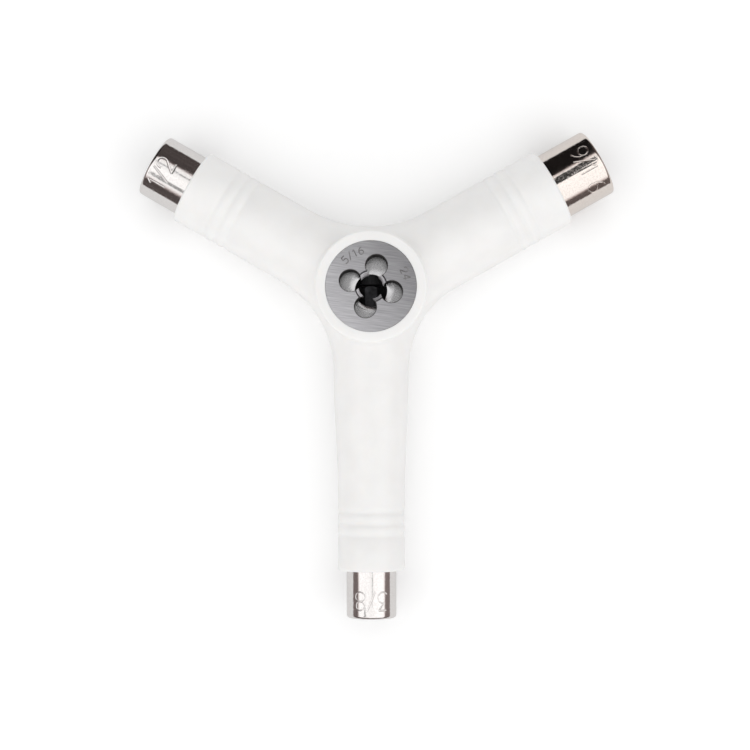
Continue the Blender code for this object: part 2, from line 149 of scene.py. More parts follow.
top_crotch = crotch_between(right_arm, left_arm, top_rise)
left_crotch = crotch_between(left_arm, long_arm, left_rise)
right_crotch = crotch_between(long_arm, right_arm, right_rise)
crotches = {left_arm: (top_crotch, left_crotch), right_arm: (right_crotch, top_crotch),
            long_arm: (left_crotch, right_crotch)}


def eased(share):
    """Smooth step from nought to one."""
    share = min(max(share, 0.0), 1.0)
    return share * share * (3 - 2 * share)


def blend_arc(arm, crotch):
    """Plan radius of the blend between an arm's side and a crotch, and where along the arm it starts."""
    slope = sin(crotch.half_pitch)
    radius = (crotch.distance * slope - hub_radius(arm)) / (1 - slope)
    return radius, (crotch.distance + radius) * cos(crotch.half_pitch)


def arm_rows(arm):
    """Sections down an arm: ridge, half height and the two rims as along, across and lean of the side."""
    arcs = [blend_arc(arm, crotch) + (pi / 2 - crotch.half_pitch,) for crotch in crotches[arm]]
    mean_start = sum(start for radius, start, sweep in arcs) / 2
    first_rate = 2 - sum(radius * sweep for radius, start, sweep in arcs) / 2 / mean_start
    rows = []
    for index in range(blend_rows, -1, -1):
        share = index / blend_rows
        ridge = mean_start * (1 - share) ** 2 * (1 + first_rate * share)
        half_height = hub_radius(arm) + (hub_half_height - hub_radius(arm)) * eased(share)
        rims = [(start - radius * sin(share * sweep),
                 hub_radius(arm) + radius * (1 - cos(share * sweep)), share * sweep)
                for radius, start, sweep in arcs]
        rows.append((ridge, half_height, rims, True))
    straight = max(start for radius, start, sweep in arcs) + blend_clearance

    def radius_at(along):
        taper = eased((along - straight) / (arm.length - arm.collar - straight))
        return hub_radius(arm) + (end_radius(arm) - hub_radius(arm)) * taper

    outline = [(straight, radius_at(straight), True)]
    groove_start = arm.length - groove_places[0] - groove_half_width
    if arm.swell:
        for index in range(1, taper_rows + 1):
            along = straight + (groove_start - groove_clearance - straight) * index / taper_rows
            outline.append((along, radius_at(along), True))
    for place in groove_places:
        for index in range(-groove_rows, groove_rows + 1):
            along = arm.length - place + groove_half_width * index / groove_rows
            depth = groove_depth * (1 - (index / groove_rows) ** 2)
            outline.append((along, radius_at(along) - depth, True))
    outline += [(along, radius, index < parted_rows) for index, (along, radius)
                in enumerate(rounded(arm.length, end_radius(arm), end_edge))]
    pocket_radius = socket_radius(arm) + fit_gap
    pocket_floor = arm.length - tail_length - tail_clearance
    outline += [(arm.length, pocket_radius, False), (pocket_floor, pocket_radius, False),
                (pocket_floor, 0.0, False)]
    rows += [(along, radius, [(along, radius, 0.0)] * 2, parted) for along, radius, parted in outline]
    return rows


def skin(edit, rows, wrap=True):
    """Faces between rows of points; a row closes on itself where wrap is true."""
    grid = [[edit.verts.new(point) for point in row] for row in rows]
    count = len(grid[0])
    for inner, outer in zip(grid, grid[1:]):
        for index in range(count if wrap else count - 1):
            after = (index + 1) % count
            edit.faces.new((inner[index], inner[after], outer[after], outer[index]))
    return grid


def rounded(radius, height, edge, points=8):
    """Quarter round on a turned profile, out and down from a top face."""
    turns = [pi / 2 * index / points for index in range(points + 1)]
    return [(radius - edge * (1 - sin(turn)), height - edge * (1 - cos(turn))) for turn in turns]


def placed(name, data):
    """New object in the scene."""
    made = bpy.data.objects.new(name, data)
    bpy.context.scene.collection.objects.link(made)
    return made


def mesh_object(edit, name, sharp=sharp_angle):
    """Object of a finished bmesh: doubles merged, faces outward, smooth between its sharp edges."""
    bmesh.ops.remove_doubles(edit, verts=edit.verts, dist=0.000001)
    bmesh.ops.recalc_face_normals(edit, faces=edit.faces)
    mesh = bpy.data.meshes.new(name)
    edit.to_mesh(mesh)
    edit.free()
    mesh.shade_smooth()
    mesh.set_sharp_from_angle(angle=sharp)
    return placed(name, mesh)


def ring(radius, height, steps):
    """Points of a circle round Z."""
    return [polar(radius, tau * step / steps, height) for step in range(steps)]


def turned(name, profile, steps, *places):
    """Object of a shape turned about Z from its profile of radius and height, once for each place."""
    edit = bmesh.new()
    for place in places or (Matrix.Identity(4),):
        skin(edit, [[place @ Vector(point) for point in ring(radius, height, steps)]
                    for radius, height in profile])
    return mesh_object(edit, name)


def plug(name, radius, first, last, steps, *places):
    """Object of a plain cylinder from one height to another, or of a prism where the steps are few."""
    return turned(name, [(0.0, first), (radius, first), (radius, last), (0.0, last)], steps, *places)


def evaluated(piece):
    """Mesh of a piece as its modifiers leave it; they are then taken off."""
    bpy.context.view_layer.update()
    mesh = bpy.data.meshes.new_from_object(piece.evaluated_get(bpy.context.evaluated_depsgraph_get()))
    piece.modifiers.clear()
    return mesh


def shaped(target, tools, operation="DIFFERENCE"):
    """Join a piece with other shapes, or cut them out of it, and take the shapes away."""
    for tool in tools:
        step = target.modifiers.new(tool.name, "BOOLEAN")
        step.operation = operation
        step.material_mode = "TRANSFER"
        step.object = tool
    target.data = evaluated(target)
    target.data.shade_smooth()
    target.data.set_sharp_from_angle(angle=sharp_angle)
    for tool in tools:
        bpy.data.objects.remove(tool)


def along_arm(angle, start=0.0, height=arm_level):
    """Placement that lays Z along a direction in plan, at a height."""
    return Matrix.Translation(polar(start, angle, height)) @ Matrix.Rotation(angle, 4, "Z") @ outward


half_turns = [pi / 2 * (index / quarter_points) * quarter_share for index in range(quarter_points + 1)]
body_edit = bmesh.new()
for arm in arms:
    for side, across_sign in ((0, -1), (1, 1)):
        sections = []
        for ridge, half_height, rims, parted in arm_rows(arm):
            rim_along, rim_across, lean = rims[side]
            flash = parting_height if parted else 0.0
            spread = parting_half_width / max(half_height, 0.001)
            turns = [(turn, 0.0) for turn in half_turns]
            turns += [(pi / 2 - spread, 0.0), (pi / 2 - spread / 3, flash)]
            turns += [(pi - turn, lift) for turn, lift in reversed(turns)]
            section = []
            for turn, lift in turns:
                along = ridge + (rim_along - ridge) * sin(turn) + lift * sin(lean)
                across = across_sign * (rim_across * sin(turn) + lift * cos(lean))
                section.append((along * cos(arm.angle) - across * sin(arm.angle),
                                along * sin(arm.angle) + across * cos(arm.angle),
                                arm_level + half_height * cos(turn)))
            sections.append(section)
        skin(body_edit, sections, wrap=False)
body = mesh_object(body_edit, "moulded_body")

# The barrel's wall meets the arms in a small blend, found by rolling a ball of its radius into the corner.
barrel_radius = die_radius + lip_width
surface = BVHTree.FromObject(body, bpy.context.evaluated_depsgraph_get())


def height_at(radius, angle):
    """Top of the arms and hub at a place in plan, or None past their edge."""
    hit = surface.ray_cast(Vector(polar(radius, angle, 2 * lip_top)), Vector((0.0, 0.0, -1.0)))[0]
    return hit.z if hit else None


barrel_rows = []
for step in range(barrel_steps):
    angle = tau * step / barrel_steps
    rests = []
    for index in range(2 * ball_places + 1):
        offset = base_blend * (index / ball_places - 1)
        height = height_at(barrel_radius + base_blend + offset, angle)
        if height is not None and height > arm_level + least_rise:
            rests.append((height + sqrt(base_blend ** 2 - offset ** 2), offset, height))
    ball_height, contact, contact_height = max(rests)
    last = atan2(contact_height - ball_height, contact) + tau
    ball_height -= ball_sink
    profile = [(0.0, lip_top)] + rounded(barrel_radius, lip_top, barrel_edge)
    for index in range(base_rows + 1):
        turn = pi + (last - pi) * index / base_rows
        profile.append((barrel_radius + base_blend * (1 + cos(turn)),
                        ball_height + base_blend * sin(turn)))
    skirt = barrel_radius + base_blend + contact + skirt_width
    profile += [(skirt, height_at(skirt, angle) - skirt_sink), (skirt, arm_level), (barrel_radius, arm_level)]
    profile += [(radius, -height) for radius, height in reversed(rounded(barrel_radius, 0.0, barrel_edge))]
    profile.append((0.0, 0.0))
    barrel_rows.append([polar(radius, angle, height) for radius, height in profile])
barrel_edit = bmesh.new()
skin(barrel_edit, list(zip(*barrel_rows)))
shaped(body, [mesh_object(barrel_edit, "barrel")], "UNION")

die_pocket = die_radius + fit_gap
cap_pocket = cap_radius + fit_gap
cap_hole = cap_plug_radius + fit_gap
magnet_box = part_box("driver_magnet")
die_middle = (die_bottom + die_top) / 2
hub_profile = [(0.0, lip_top + overrun), (die_pocket + lip_edge + overrun, lip_top + overrun),
               (die_pocket, lip_top - lip_edge), (die_pocket, plate_bottom - fit_gap),
               (well_radius, plate_bottom - fit_gap), (well_radius, cap_top + fit_gap),
               (cap_hole, cap_top + fit_gap), (cap_hole, cap_flange + fit_gap),
               (cap_pocket, cap_flange + fit_gap), (cap_pocket, -overrun), (0.0, -overrun)]
hub_cuts = turned("hub_cuts", hub_profile, barrel_steps)
magnet_cut = plug("magnet_cut", magnet_box[1].x + fit_gap, 0.0, magnet_box[1].y + fit_gap, hole_steps,
                  along_arm(pi / 2))
channel_cut = plug("channel_cut", hex_corner(bar_across_flats) + tail_clearance, 0.0,
                   long_arm.length - tail_length + overrun, channel_steps, along_arm(long_arm.angle))
screw_cuts = plug("screw_cuts", screw_radius + fit_gap, die_radius - 2 * overrun, barrel_radius + 2 * overrun,
                  hole_steps, *[along_arm(angle, height=die_middle) for angle in screw_angles])
shaped(body, [hub_cuts, magnet_cut, channel_cut, screw_cuts])


def feed(node, inputs):
    """Give a node's inputs their values, or link them to other nodes' outputs."""
    for label, value in inputs.items():
        if isinstance(value, bpy.types.NodeSocket):
            node.id_data.links.new(value, node.inputs[label])
        else:
            node.inputs[label].default_value = value


def wired(tree, kind, inputs=None, **settings):
    """New node with its settings and inputs."""
    node = tree.nodes.new(kind)
    for label, value in settings.items():
        setattr(node, label, value)
    feed(node, inputs or {})
    return node


def maths(operation, *values):
    """Arithmetic on numbers and other nodes' outputs, in the tree that holds those nodes."""
    tree = next(value.id_data for value in values if isinstance(value, bpy.types.NodeSocket))
    return wired(tree, "ShaderNodeMath", dict(enumerate(values)), operation=operation).outputs["Value"]


def ranged(value, to_low, to_high, from_low=0.0, from_high=1.0, **settings):
    """A number carried from one range to another."""
    node = wired(value.id_data, "ShaderNodeMapRange", {
        "Value": value, "From Min": from_low, "From Max": from_high, "To Min": to_low, "To Max": to_high},
        **settings)
    return node.outputs["Result"]


def ramp(source, *stops):
    """Colour that runs through stops of place and tone, by another node's output."""
    node = wired(source.id_data, "ShaderNodeValToRGB", {"Fac": source})
    elements = node.color_ramp.elements
    for index, (place, tone) in enumerate(stops):
        stop = elements[index] if index < 2 else elements.new(place)
        stop.position = place
        stop.color = (*tone, 1.0)
    return node.outputs["Color"]


def node_group(name, numbers, outputs):
    """Shader group with named number inputs and outputs, and the nodes at its two ends."""
    tree = bpy.data.node_groups.new(name, "ShaderNodeTree")
    for label, value in numbers.items():
        tree.interface.new_socket(label, in_out="INPUT", socket_type="NodeSocketFloat").default_value = value
    for label in outputs:
        tree.interface.new_socket(label, in_out="OUTPUT", socket_type="NodeSocketFloat")
    return tree, wired(tree, "NodeGroupInput"), wired(tree, "NodeGroupOutput")


def grain_group():
    """Even, random grain: a coarse cloudiness and a fine tooth."""
    tree, start, end = node_group("grain", {"Coarse Scale": 300.0, "Fine Scale": 2500.0}, ("Cloud", "Tooth"))
    place = wired(tree, "ShaderNodeTexCoord").outputs["Object"]
    for label, output, detail in (("Coarse Scale", "Cloud", 3.0), ("Fine Scale", "Tooth", 4.0)):
        noise = wired(tree, "ShaderNodeTexNoise", {
            "Vector": place, "Scale": start.outputs[label], "Detail": detail})
        feed(end, {output: noise.outputs["Fac"]})
    return tree


grain = grain_group()


class Finish:
    """A material under construction, with its Principled shader and its grain."""

    def __init__(self, name, coarse, fine, metallic=0.0):
        self.material = bpy.data.materials.new(name)
        self.material.use_nodes = True
        self.tree = self.material.node_tree
        self.shader = self.tree.nodes["Principled BSDF"]
        feed(self.shader, {"Metallic": metallic})
        noises = wired(self.tree, "ShaderNodeGroup", {"Coarse Scale": coarse, "Fine Scale": fine},
                       node_tree=grain)
        self.cloud, self.tooth = noises.outputs

    def colours(self, first, second, source=None, low=0.35, high=0.65):
        """Base colour that runs between two tones, by the cloudiness or by another output."""
        feed(self.shader, {"Base Color": ramp(source or self.cloud, (low, first), (high, second))})

    def shade(self, turn, reach, depth):
        """Painted shade: darken the base colour slowly across the piece, away from a direction in plan."""
        place = wired(self.tree, "ShaderNodeTexCoord").outputs["Object"]
        toward = wired(self.tree, "ShaderNodeVectorMath", {0: place, 1: polar(1 / reach, turn, 0.0)},
                       operation="DOT_PRODUCT")
        amount = maths("MULTIPLY_ADD", toward.outputs["Value"], depth, 1.0)
        colour = self.shader.inputs["Base Color"].links[0].from_socket
        shaded = wired(self.tree, "ShaderNodeVectorMath", {0: colour, "Scale": amount}, operation="SCALE")
        feed(self.shader, {"Base Color": shaded.outputs["Vector"]})

    def roughness(self, low, high, source=None):
        """Roughness that runs between two values, by the tooth or by another output."""
        feed(self.shader, {"Roughness": ranged(source or self.tooth, low, high)})

    def relief(self, *layers):
        """Bumps of real depths, each on the one before it."""
        under = {}
        for source, depth in layers:
            bump = wired(self.tree, "ShaderNodeBump", {"Distance": depth, "Height": source, **under})
            under = {"Normal": bump.outputs["Normal"]}
        feed(self.shader, under)


def give(piece, material):
    """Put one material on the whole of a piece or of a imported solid."""
    piece.data.materials.clear()
    piece.data.materials.append(material)
    for face in piece.data.polygons:
        face.material_index = 0


white_nylon = Finish("white_nylon_finish", 160.0, 2600.0)
white_nylon.colours((0.89, 0.88, 0.868), (0.915, 0.905, 0.894))
white_nylon.roughness(0.34, 0.48)
white_nylon.relief((white_nylon.cloud, 0.00001), (white_nylon.tooth, 0.000006))
feed(white_nylon.shader, {
    "Subsurface Weight": 0.25, "Subsurface Radius": (0.0016, 0.0014, 0.0012), "Subsurface Scale": 1.0})
give(body, white_nylon.material)
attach(body, "handle")
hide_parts("handle_body")

# Rear cap. A turned-looking plug moulded in black nylon and pressed into the back of the hub, with the small
# round dimple that its moulding gate leaves at the middle. The tool rests on it and on the barrel's foot.
cap_chamfer = 0.0003
cap_steps = 160
gate_radius = 0.0022
gate_depth = 0.00025
cap_profile = [(0.0, cap_top)] + rounded(cap_plug_radius, cap_top, cap_chamfer, points=3)
cap_profile.append((cap_plug_radius, cap_flange))
cap_profile += rounded(cap_radius, cap_flange, cap_chamfer / 2, points=3)
cap_profile += [(cap_radius, cap_chamfer), (cap_radius - cap_chamfer, 0.0), (gate_radius + gate_depth, 0.0),
                (gate_radius, gate_depth), (0.0, gate_depth)]
rear_cap = turned("rear_plug", cap_profile, cap_steps)
black_nylon = Finish("black_nylon_finish", 200.0, 3200.0)
black_nylon.colours((0.012, 0.012, 0.013), (0.02, 0.02, 0.021))
black_nylon.roughness(0.42, 0.58)
black_nylon.relief((black_nylon.tooth, 0.00001))
give(rear_cap, black_nylon.material)
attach(rear_cap, "handle")
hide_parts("rear_cap")

# Sockets. Turned steel tubes with a broached hex, bright plated; the 9/16 inch one is a warmer nickel. A neck
# behind the mouth locks each tail in the plastic. The hex size is engraved near the mouth in plain numerals.
neck_from_end = 0.006
neck_width = 0.003
neck_depth = 0.0012
mouth_edge = 0.0009
lead_in = 0.0003
hex_clearance = 0.0001
recess_backs = {left_arm: 0.0104, right_arm: 0.0078, long_arm: 0.0195}
bit_hole_wall = 0.0024
bar_way_gap = 0.0006
numeral_height = 0.0052
numeral_middle = 0.28
numerals_from_mouth = {left_arm: 0.0016, right_arm: 0.0021, long_arm: 0.0026}
stroke_radii = {left_arm: 0.00044, right_arm: 0.0003, long_arm: 0.0003}
stroke_depths = {left_arm: 0.0001, right_arm: 0.00007, long_arm: 0.00007}
stroke_facets = 40
stroke_gap = 0.001
socket_steps = 192
lead_steps = 96


def arc(centre_x, centre_y, radius_x, radius_y, first, last, points=14):
    """Points of an oval arc in a numeral's cell, by its angles in degrees."""
    turns = [radians(first + (last - first) * index / points) for index in range(points + 1)]
    return [(centre_x + radius_x * cos(turn), centre_y + radius_y * sin(turn)) for turn in turns]


# Single-line numerals as an engraver cuts them, stroke by stroke, in a cell one unit high
six = [arc(0.66, 0.40, 0.64, 0.60, 112, 176), arc(0.28, 0.28, 0.28, 0.28, 0, 360, 24)]
numerals = {
    "1": [[(0.10, 0.78), (0.30, 1.0)], [(0.30, 1.0), (0.30, 0.0)]],
    "2": [arc(0.29, 0.72, 0.27, 0.28, 195, -38) + [(0.02, 0.0)], [(0.02, 0.0), (0.58, 0.0)]],
    "3": [[(0.06, 1.0), (0.52, 1.0)], [(0.52, 1.0), (0.24, 0.60)], arc(0.27, 0.30, 0.28, 0.30, 97, -150)],
    "4": [[(0.42, 0.0), (0.42, 1.0)], [(0.42, 1.0), (0.0, 0.30)], [(0.0, 0.30), (0.58, 0.30)]],
    "5": [[(0.52, 1.0), (0.12, 1.0)], [(0.12, 1.0), (0.08, 0.54)], arc(0.28, 0.31, 0.28, 0.31, 132, -145)],
    "6": six,
    "8": [arc(0.28, 0.75, 0.22, 0.25, 0, 360, 24), arc(0.28, 0.26, 0.27, 0.26, 0, 360, 24)],
    "9": [[(0.56 - x, 1.0 - y) for x, y in stroke] for stroke in six],
    "/": [[(0.06, -0.04), (0.50, 1.04)]],
}


def grower(name, extra):
    """Geometry Nodes tree with a geometry and a material going in, and what else it needs."""
    tree = bpy.data.node_groups.new(name, "GeometryNodeTree")
    for label, kind in {"Geometry": "Geometry", **extra, "Material": "Material"}.items():
        tree.interface.new_socket(label, in_out="INPUT", socket_type="NodeSocket" + kind)
    tree.interface.new_socket("Geometry", in_out="OUTPUT", socket_type="NodeSocketGeometry")
    return tree, wired(tree, "NodeGroupInput").outputs


def painted(geometry, material):
    """The tree that holds a geometry, ended: it comes out realized and in its material."""
    tree = geometry.id_data
    real = wired(tree, "GeometryNodeRealizeInstances", {"Geometry": geometry})
    coat = wired(tree, "GeometryNodeSetMaterial", {
        "Geometry": real.outputs["Geometry"], "Material": material})
    wired(tree, "NodeGroupOutput", {"Geometry": coat.outputs["Geometry"]})
    return tree


def stroke_tree():
    """Geometry Nodes that sweep a round cutter along every stroke."""
    tree, given = grower("engraving_cutter", {"Radius": "Float", "Facets": "Int"})
    curve = wired(tree, "GeometryNodeMeshToCurve", {"Mesh": given["Geometry"]})
    circle = wired(tree, "GeometryNodeCurvePrimitiveCircle", {
        "Radius": given["Radius"], "Resolution": given["Facets"]})
    sweep = wired(tree, "GeometryNodeCurveToMesh", {
        "Curve": curve.outputs["Curve"], "Profile Curve": circle.outputs["Curve"], "Fill Caps": True})
    return painted(sweep.outputs["Mesh"], given["Material"])


def grown(source, tree, values):
    """Plain object of what a Geometry Nodes tree makes of an object, with the tree's named inputs set."""
    growth = source.modifiers.new(tree.name, "NODES")
    growth.node_group = tree
    for item in tree.interface.items_tree:
        if item.in_out == "INPUT" and item.name in values:
            growth[item.identifier] = values[item.name]
    made = placed(source.name + "_grown", evaluated(source))
    bpy.data.objects.remove(source)
    return made


engraving_cutter = stroke_tree()


def engraving(name, marks, size, wrap_point, radius, material):
    """Cutters for numerals, one a stroke; wrap_point lays a place in the writing on the piece's surface."""
    cutters = []
    for mark, shift in marks:
        for stroke in numerals[mark]:
            closed = dist(stroke[0], stroke[-1]) < stroke_gap
            points = [wrap_point(shift + (x - numeral_middle) * size, y * size) for x, y in stroke[closed:]]
            links = [(index, index + 1) for index in range(len(points) - 1)]
            if closed:
                links.append((len(points) - 1, 0))
            lines = bpy.data.meshes.new(name)
            lines.from_pydata(points, links, [])
            cutters.append(grown(placed(name, lines), engraving_cutter,
                                 {"Radius": radius, "Facets": stroke_facets, "Material": material}))
    return cutters


def plated(name, colour, second):
    """Bright plate over turned steel: near mirror, a little uneven, with a fine tooth."""
    plate = Finish(name, 330.0, 2200.0, metallic=1.0)
    plate.colours(colour, second, plate.tooth, 0.36, 0.58)
    plate.roughness(0.02, 0.18)
    pits = ranged(plate.tooth, 0.0, 1.0, 0.55, 0.66)
    plate.relief((plate.cloud, 0.00002), (pits, 0.0000035))
    return plate.material


bright_plate = plated("bright_plate_finish", (0.78, 0.745, 0.73), (0.84, 0.815, 0.80))
warm_plate = plated("warm_plate_finish", (0.79, 0.715, 0.665), (0.86, 0.79, 0.74))
socket_marks = {
    left_arm: (("1", -0.0047), ("/", -0.0019), ("2", 0.0011)),
    right_arm: (("9", -0.00435), ("/", -0.0015), ("1", 0.0014), ("6", 0.0068)),
    long_arm: (("3", -0.0033), ("/", 0.0001), ("8", 0.0034)),
}


def hex_prism(name, across_flats, low, high, place=Matrix.Identity(4)):
    """Object of a hexagonal prism between two heights, with a flat across X, then placed."""
    return plug(name, hex_corner(across_flats), high, low, 6, place @ Matrix.Rotation(pi / 6, 4, "Z"))


def make_socket(arm, piece_name, node, material):
    """One socket, made upright and then laid in its arm: turned, broached, chamfered and engraved."""
    radius = socket_radius(arm)
    mouth = arm.length + arm.reach
    tail = arm.length - tail_length
    neck_top = arm.length - neck_from_end
    neck_foot = neck_top - neck_width
    neck_radius = radius - neck_depth
    outside = [(0.0, mouth)] + rounded(radius, mouth, mouth_edge, points=10)
    outside += [(radius, neck_top), (neck_radius, neck_top), (neck_radius, neck_foot), (radius, neck_foot),
                (radius, tail), (0.0, tail)]
    piece = turned(piece_name, outside, socket_steps)
    floor = tail + recess_backs[arm]
    through = floor + 2 * overrun
    hexagon = arm.across_flats + hex_clearance
    flat = arm.across_flats / 2
    lead_rim = hex_corner(hexagon) + lead_in
    lead_floor = mouth - (lead_rim - flat)
    lead = [(0.0, mouth + overrun), (lead_rim + overrun, mouth + overrun), (flat, lead_floor),
            (0.0, lead_floor)]
    tools = []
    if arm is left_arm:
        tools.append(hex_prism("bit_hole", bar_across_flats + hex_clearance, tail + bit_hole_wall, through))
    if arm is long_arm:
        tools.append(hex_prism("bar_way", bar_across_flats + bar_way_gap, tail - 2 * overrun, through))
    tools.append(hex_prism("broach", hexagon, floor, mouth + 2 * overrun))
    tools.append(turned("lead", lead, lead_steps))
    shaped(piece, tools)

    def on_socket(along, up):
        """Place on the socket for writing that runs round it, tops toward the mouth."""
        return polar(stroke_depths[arm] - stroke_radii[arm] - radius, along / radius,
                     mouth - numerals_from_mouth[arm] - numeral_height + up)

    shaped(piece, engraving(arm.name + "_marks", socket_marks[arm], numeral_height, on_socket,
                            stroke_radii[arm], material))
    piece.data.transform(along_arm(arm.angle))
    give(piece, material)
    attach(piece, "handle")
    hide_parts(node)


make_socket(left_arm, "half_inch_socket", "socket_half_inch", bright_plate)
make_socket(right_arm, "nine_sixteenths_socket", "socket_nine_sixteenths", warm_plate)
make_socket(long_arm, "three_eighths_socket", "socket_three_eighths", bright_plate)

# Rod magnet. A quarter inch ferrite rod behind the bar's inner end, which holds the bar in its arm. It is a
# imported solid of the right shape, so it only takes its dark, dry, slightly speckled sintered finish.
ferrite = Finish("ferrite_finish", 700.0, 4000.0)
ferrite.colours((0.015, 0.015, 0.017), (0.03, 0.03, 0.032))
ferrite.roughness(0.5, 0.75)
ferrite.relief((ferrite.tooth, 0.00001))
give(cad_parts["driver_magnet"], ferrite.material)

# Driver bar. A quarter inch hex bar in black oxide, plain and chamfered at its inner end, with a Phillips
# tip at its outer end. It slides out through the 3/8 inch socket, and its plain end fits the bit hole.
bar_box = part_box("driver_bar")
bar_length = bar_box[1].y - bar_box[0].y
bar_place = along_arm(long_arm.angle, start=-bar_box[1].y)
bar_corner = hex_corner(bar_across_flats)
bar_edge = 0.00022
bar_chamfer = 0.0006
bar_steps = 144
shank_radius = 0.0030
shank_length = 0.012
tip_radius = 0.0011
cone_length = (shank_radius - tip_radius) / tan(radians(26.5))
wing_thickness = 0.0010
flute_slope = radians(9)
flute_length = 0.0075
flute_width = 0.004
bar_profile = [(0.0, bar_length), (tip_radius, bar_length), (shank_radius, bar_length - cone_length),
               (shank_radius, bar_length - shank_length),
               (bar_corner, bar_length - shank_length - bar_chamfer), (bar_corner, bar_chamfer),
               (bar_corner - bar_chamfer, 0.0), (0.0, 0.0)]
driver_bar = turned("hex_driver", bar_profile, bar_steps, bar_place)
hex_stock = hex_prism("hex_stock", bar_across_flats, -2 * overrun, bar_length + 2 * overrun, bar_place)
hex_bevel = hex_stock.modifiers.new("Edges", "BEVEL")
hex_bevel.width = bar_edge
hex_bevel.segments = 3
shaped(driver_bar, [hex_stock], "INTERSECT")
flute_edit = bmesh.new()
for index in range(4):
    lean = (Matrix.Rotation(pi * (2 * index + 1) / 4, 4, "Z")
            @ Matrix.Translation((wing_thickness / sqrt(2), 0.0, bar_length))
            @ Matrix.Rotation(-flute_slope, 4, "Y") @ Matrix.Rotation(pi / 4, 4, "Z"))
    centre = Matrix.Translation((flute_width / 2, -flute_width / 2, 2 * overrun - flute_length / 2))
    size = Matrix.Diagonal((flute_width, flute_width, flute_length, 1.0))
    bmesh.ops.create_cube(flute_edit, size=1.0, matrix=bar_place @ lean @ centre @ size)
shaped(driver_bar, [mesh_object(flute_edit, "flutes")])


def drawn_group():
    """Long fine lines in one direction, as drawing, grinding or brushing leaves them."""
    tree, start, end = node_group("drawn_lines", {"Turn": 0.0, "Across Scale": 3000.0, "Along Scale": 60.0},
                                  ("Lines",))
    across = start.outputs["Across Scale"]
    place = wired(tree, "ShaderNodeTexCoord").outputs["Object"]
    turn = wired(tree, "ShaderNodeVectorRotate", {"Vector": place, "Angle": start.outputs["Turn"]},
                 rotation_type="Z_AXIS")
    stretch = wired(tree, "ShaderNodeCombineXYZ", {
        "X": across, "Y": start.outputs["Along Scale"], "Z": across})
    scale = wired(tree, "ShaderNodeVectorMath", {0: turn.outputs["Vector"], 1: stretch.outputs["Vector"]},
                  operation="MULTIPLY")
    noise = wired(tree, "ShaderNodeTexNoise", {
        "Vector": scale.outputs["Vector"], "Scale": 1.0, "Detail": 5.0})
    feed(end, {"Lines": noise.outputs["Fac"]})
    return tree


drawn_lines = drawn_group()


def lines_on(finish, turn, across, along):
    """Place the drawn lines in a finish."""
    return wired(finish.tree, "ShaderNodeGroup", {"Turn": turn, "Across Scale": across, "Along Scale": along},
                 node_tree=drawn_lines).outputs["Lines"]


black_oxide = Finish("black_oxide_finish", 500.0, 3000.0, metallic=0.6)
black_oxide.colours((0.006, 0.006, 0.007), (0.045, 0.045, 0.05))
bar_lines = lines_on(black_oxide, 0.0, 2600.0, 40.0)
black_oxide.roughness(0.28, 0.5, bar_lines)
black_oxide.relief((black_oxide.cloud, 0.00004), (bar_lines, 0.000006))
give(driver_bar, black_oxide.material)
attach(driver_bar, "driver")
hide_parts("driver_bar")

# Seat plate. A turned steel disc under the die, seen through the die's holes. Its chamfered hole, over the
# bar, lies a little toward the long arm.
plate_hole = 0.0046
dish_width = 0.0026
dish_depth = 0.00035
plate_shift = 0.0006
dish_rows = 16
plate_steps = 160
plate_edit = bmesh.new()
plate_rows = [(die_radius, plate_top, 0.0), (die_radius, plate_bottom, 0.0),
              (plate_hole, plate_bottom, plate_shift)]
for index in range(dish_rows + 1):
    share = index / dish_rows
    plate_rows.append((plate_hole + dish_width * share,
                       plate_top - dish_depth * (1 - share) ** 2.5, plate_shift * (1 - share)))
plate_rows.append((die_radius, plate_top, 0.0))
skin(plate_edit, [[(x, y - shift, z) for x, y, z in ring(radius, height, plate_steps)]
                  for radius, height, shift in plate_rows])
seat_plate = mesh_object(plate_edit, "seat_plate", radians(30))
plain_steel = Finish("plain_steel_finish", 350.0, 2600.0, metallic=1.0)
plain_steel.colours((0.52, 0.515, 0.52), (0.64, 0.635, 0.64))
turning_place = wired(plain_steel.tree, "ShaderNodeTexCoord").outputs["Object"]
turning_lines = wired(plain_steel.tree, "ShaderNodeTexWave", {
    "Vector": turning_place, "Scale": 900.0, "Distortion": 1.5, "Detail": 3.0},
    wave_type="RINGS", rings_direction="Z").outputs["Fac"]
plain_steel.roughness(0.16, 0.28)
plain_steel.relief((plain_steel.cloud, 0.000012), (turning_lines, 0.0000008))
give(seat_plate, plain_steel.material)
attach(seat_plate, "handle")
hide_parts("die_seat_plate")

# Threading die. A ground disc of tool steel for 5/16-24 axle ends. Four clearance holes open into the
# tapped bore and leave four lands of thread, with a lead on both faces. Its size is engraved in numerals.
thread_pitch = 0.0254 / 24
thread_crest = 0.00398
thread_overlap = 0.0001
root_half_width = 0.42
crest_half_width = 0.06
thread_turns = 11
thread_steps = 56
bore_radius = 0.00345
lead_radius = 0.0046
lead_depth = 0.0008
ledge_radius = 0.0042
ledge_depth = 0.0006
die_edge = 0.00005
hole_radius = 0.00308
hole_orbit = 0.00595
hole_rim = 0.00014
first_hole = radians(75)
dimple_radius = 0.0012
die_steps = 192
drill_steps = 72
die_numeral_height = 0.0021
die_numeral_orbit = 0.0092
die_stroke_radius = 0.00018
die_stroke_depth = 0.00007
size_middle = radians(119.5)
pitch_middle = radians(20)
die_profile = [(lead_radius, die_top), (die_radius - die_edge, die_top), (die_radius, die_top - die_edge),
               (die_radius, die_bottom + die_edge), (die_radius - die_edge, die_bottom),
               (lead_radius, die_bottom), (bore_radius, die_bottom + lead_depth),
               (bore_radius, die_top - lead_depth), (ledge_radius, die_top - ledge_depth),
               (lead_radius, die_top)]
threading_die = turned("axle_die", die_profile, die_steps)

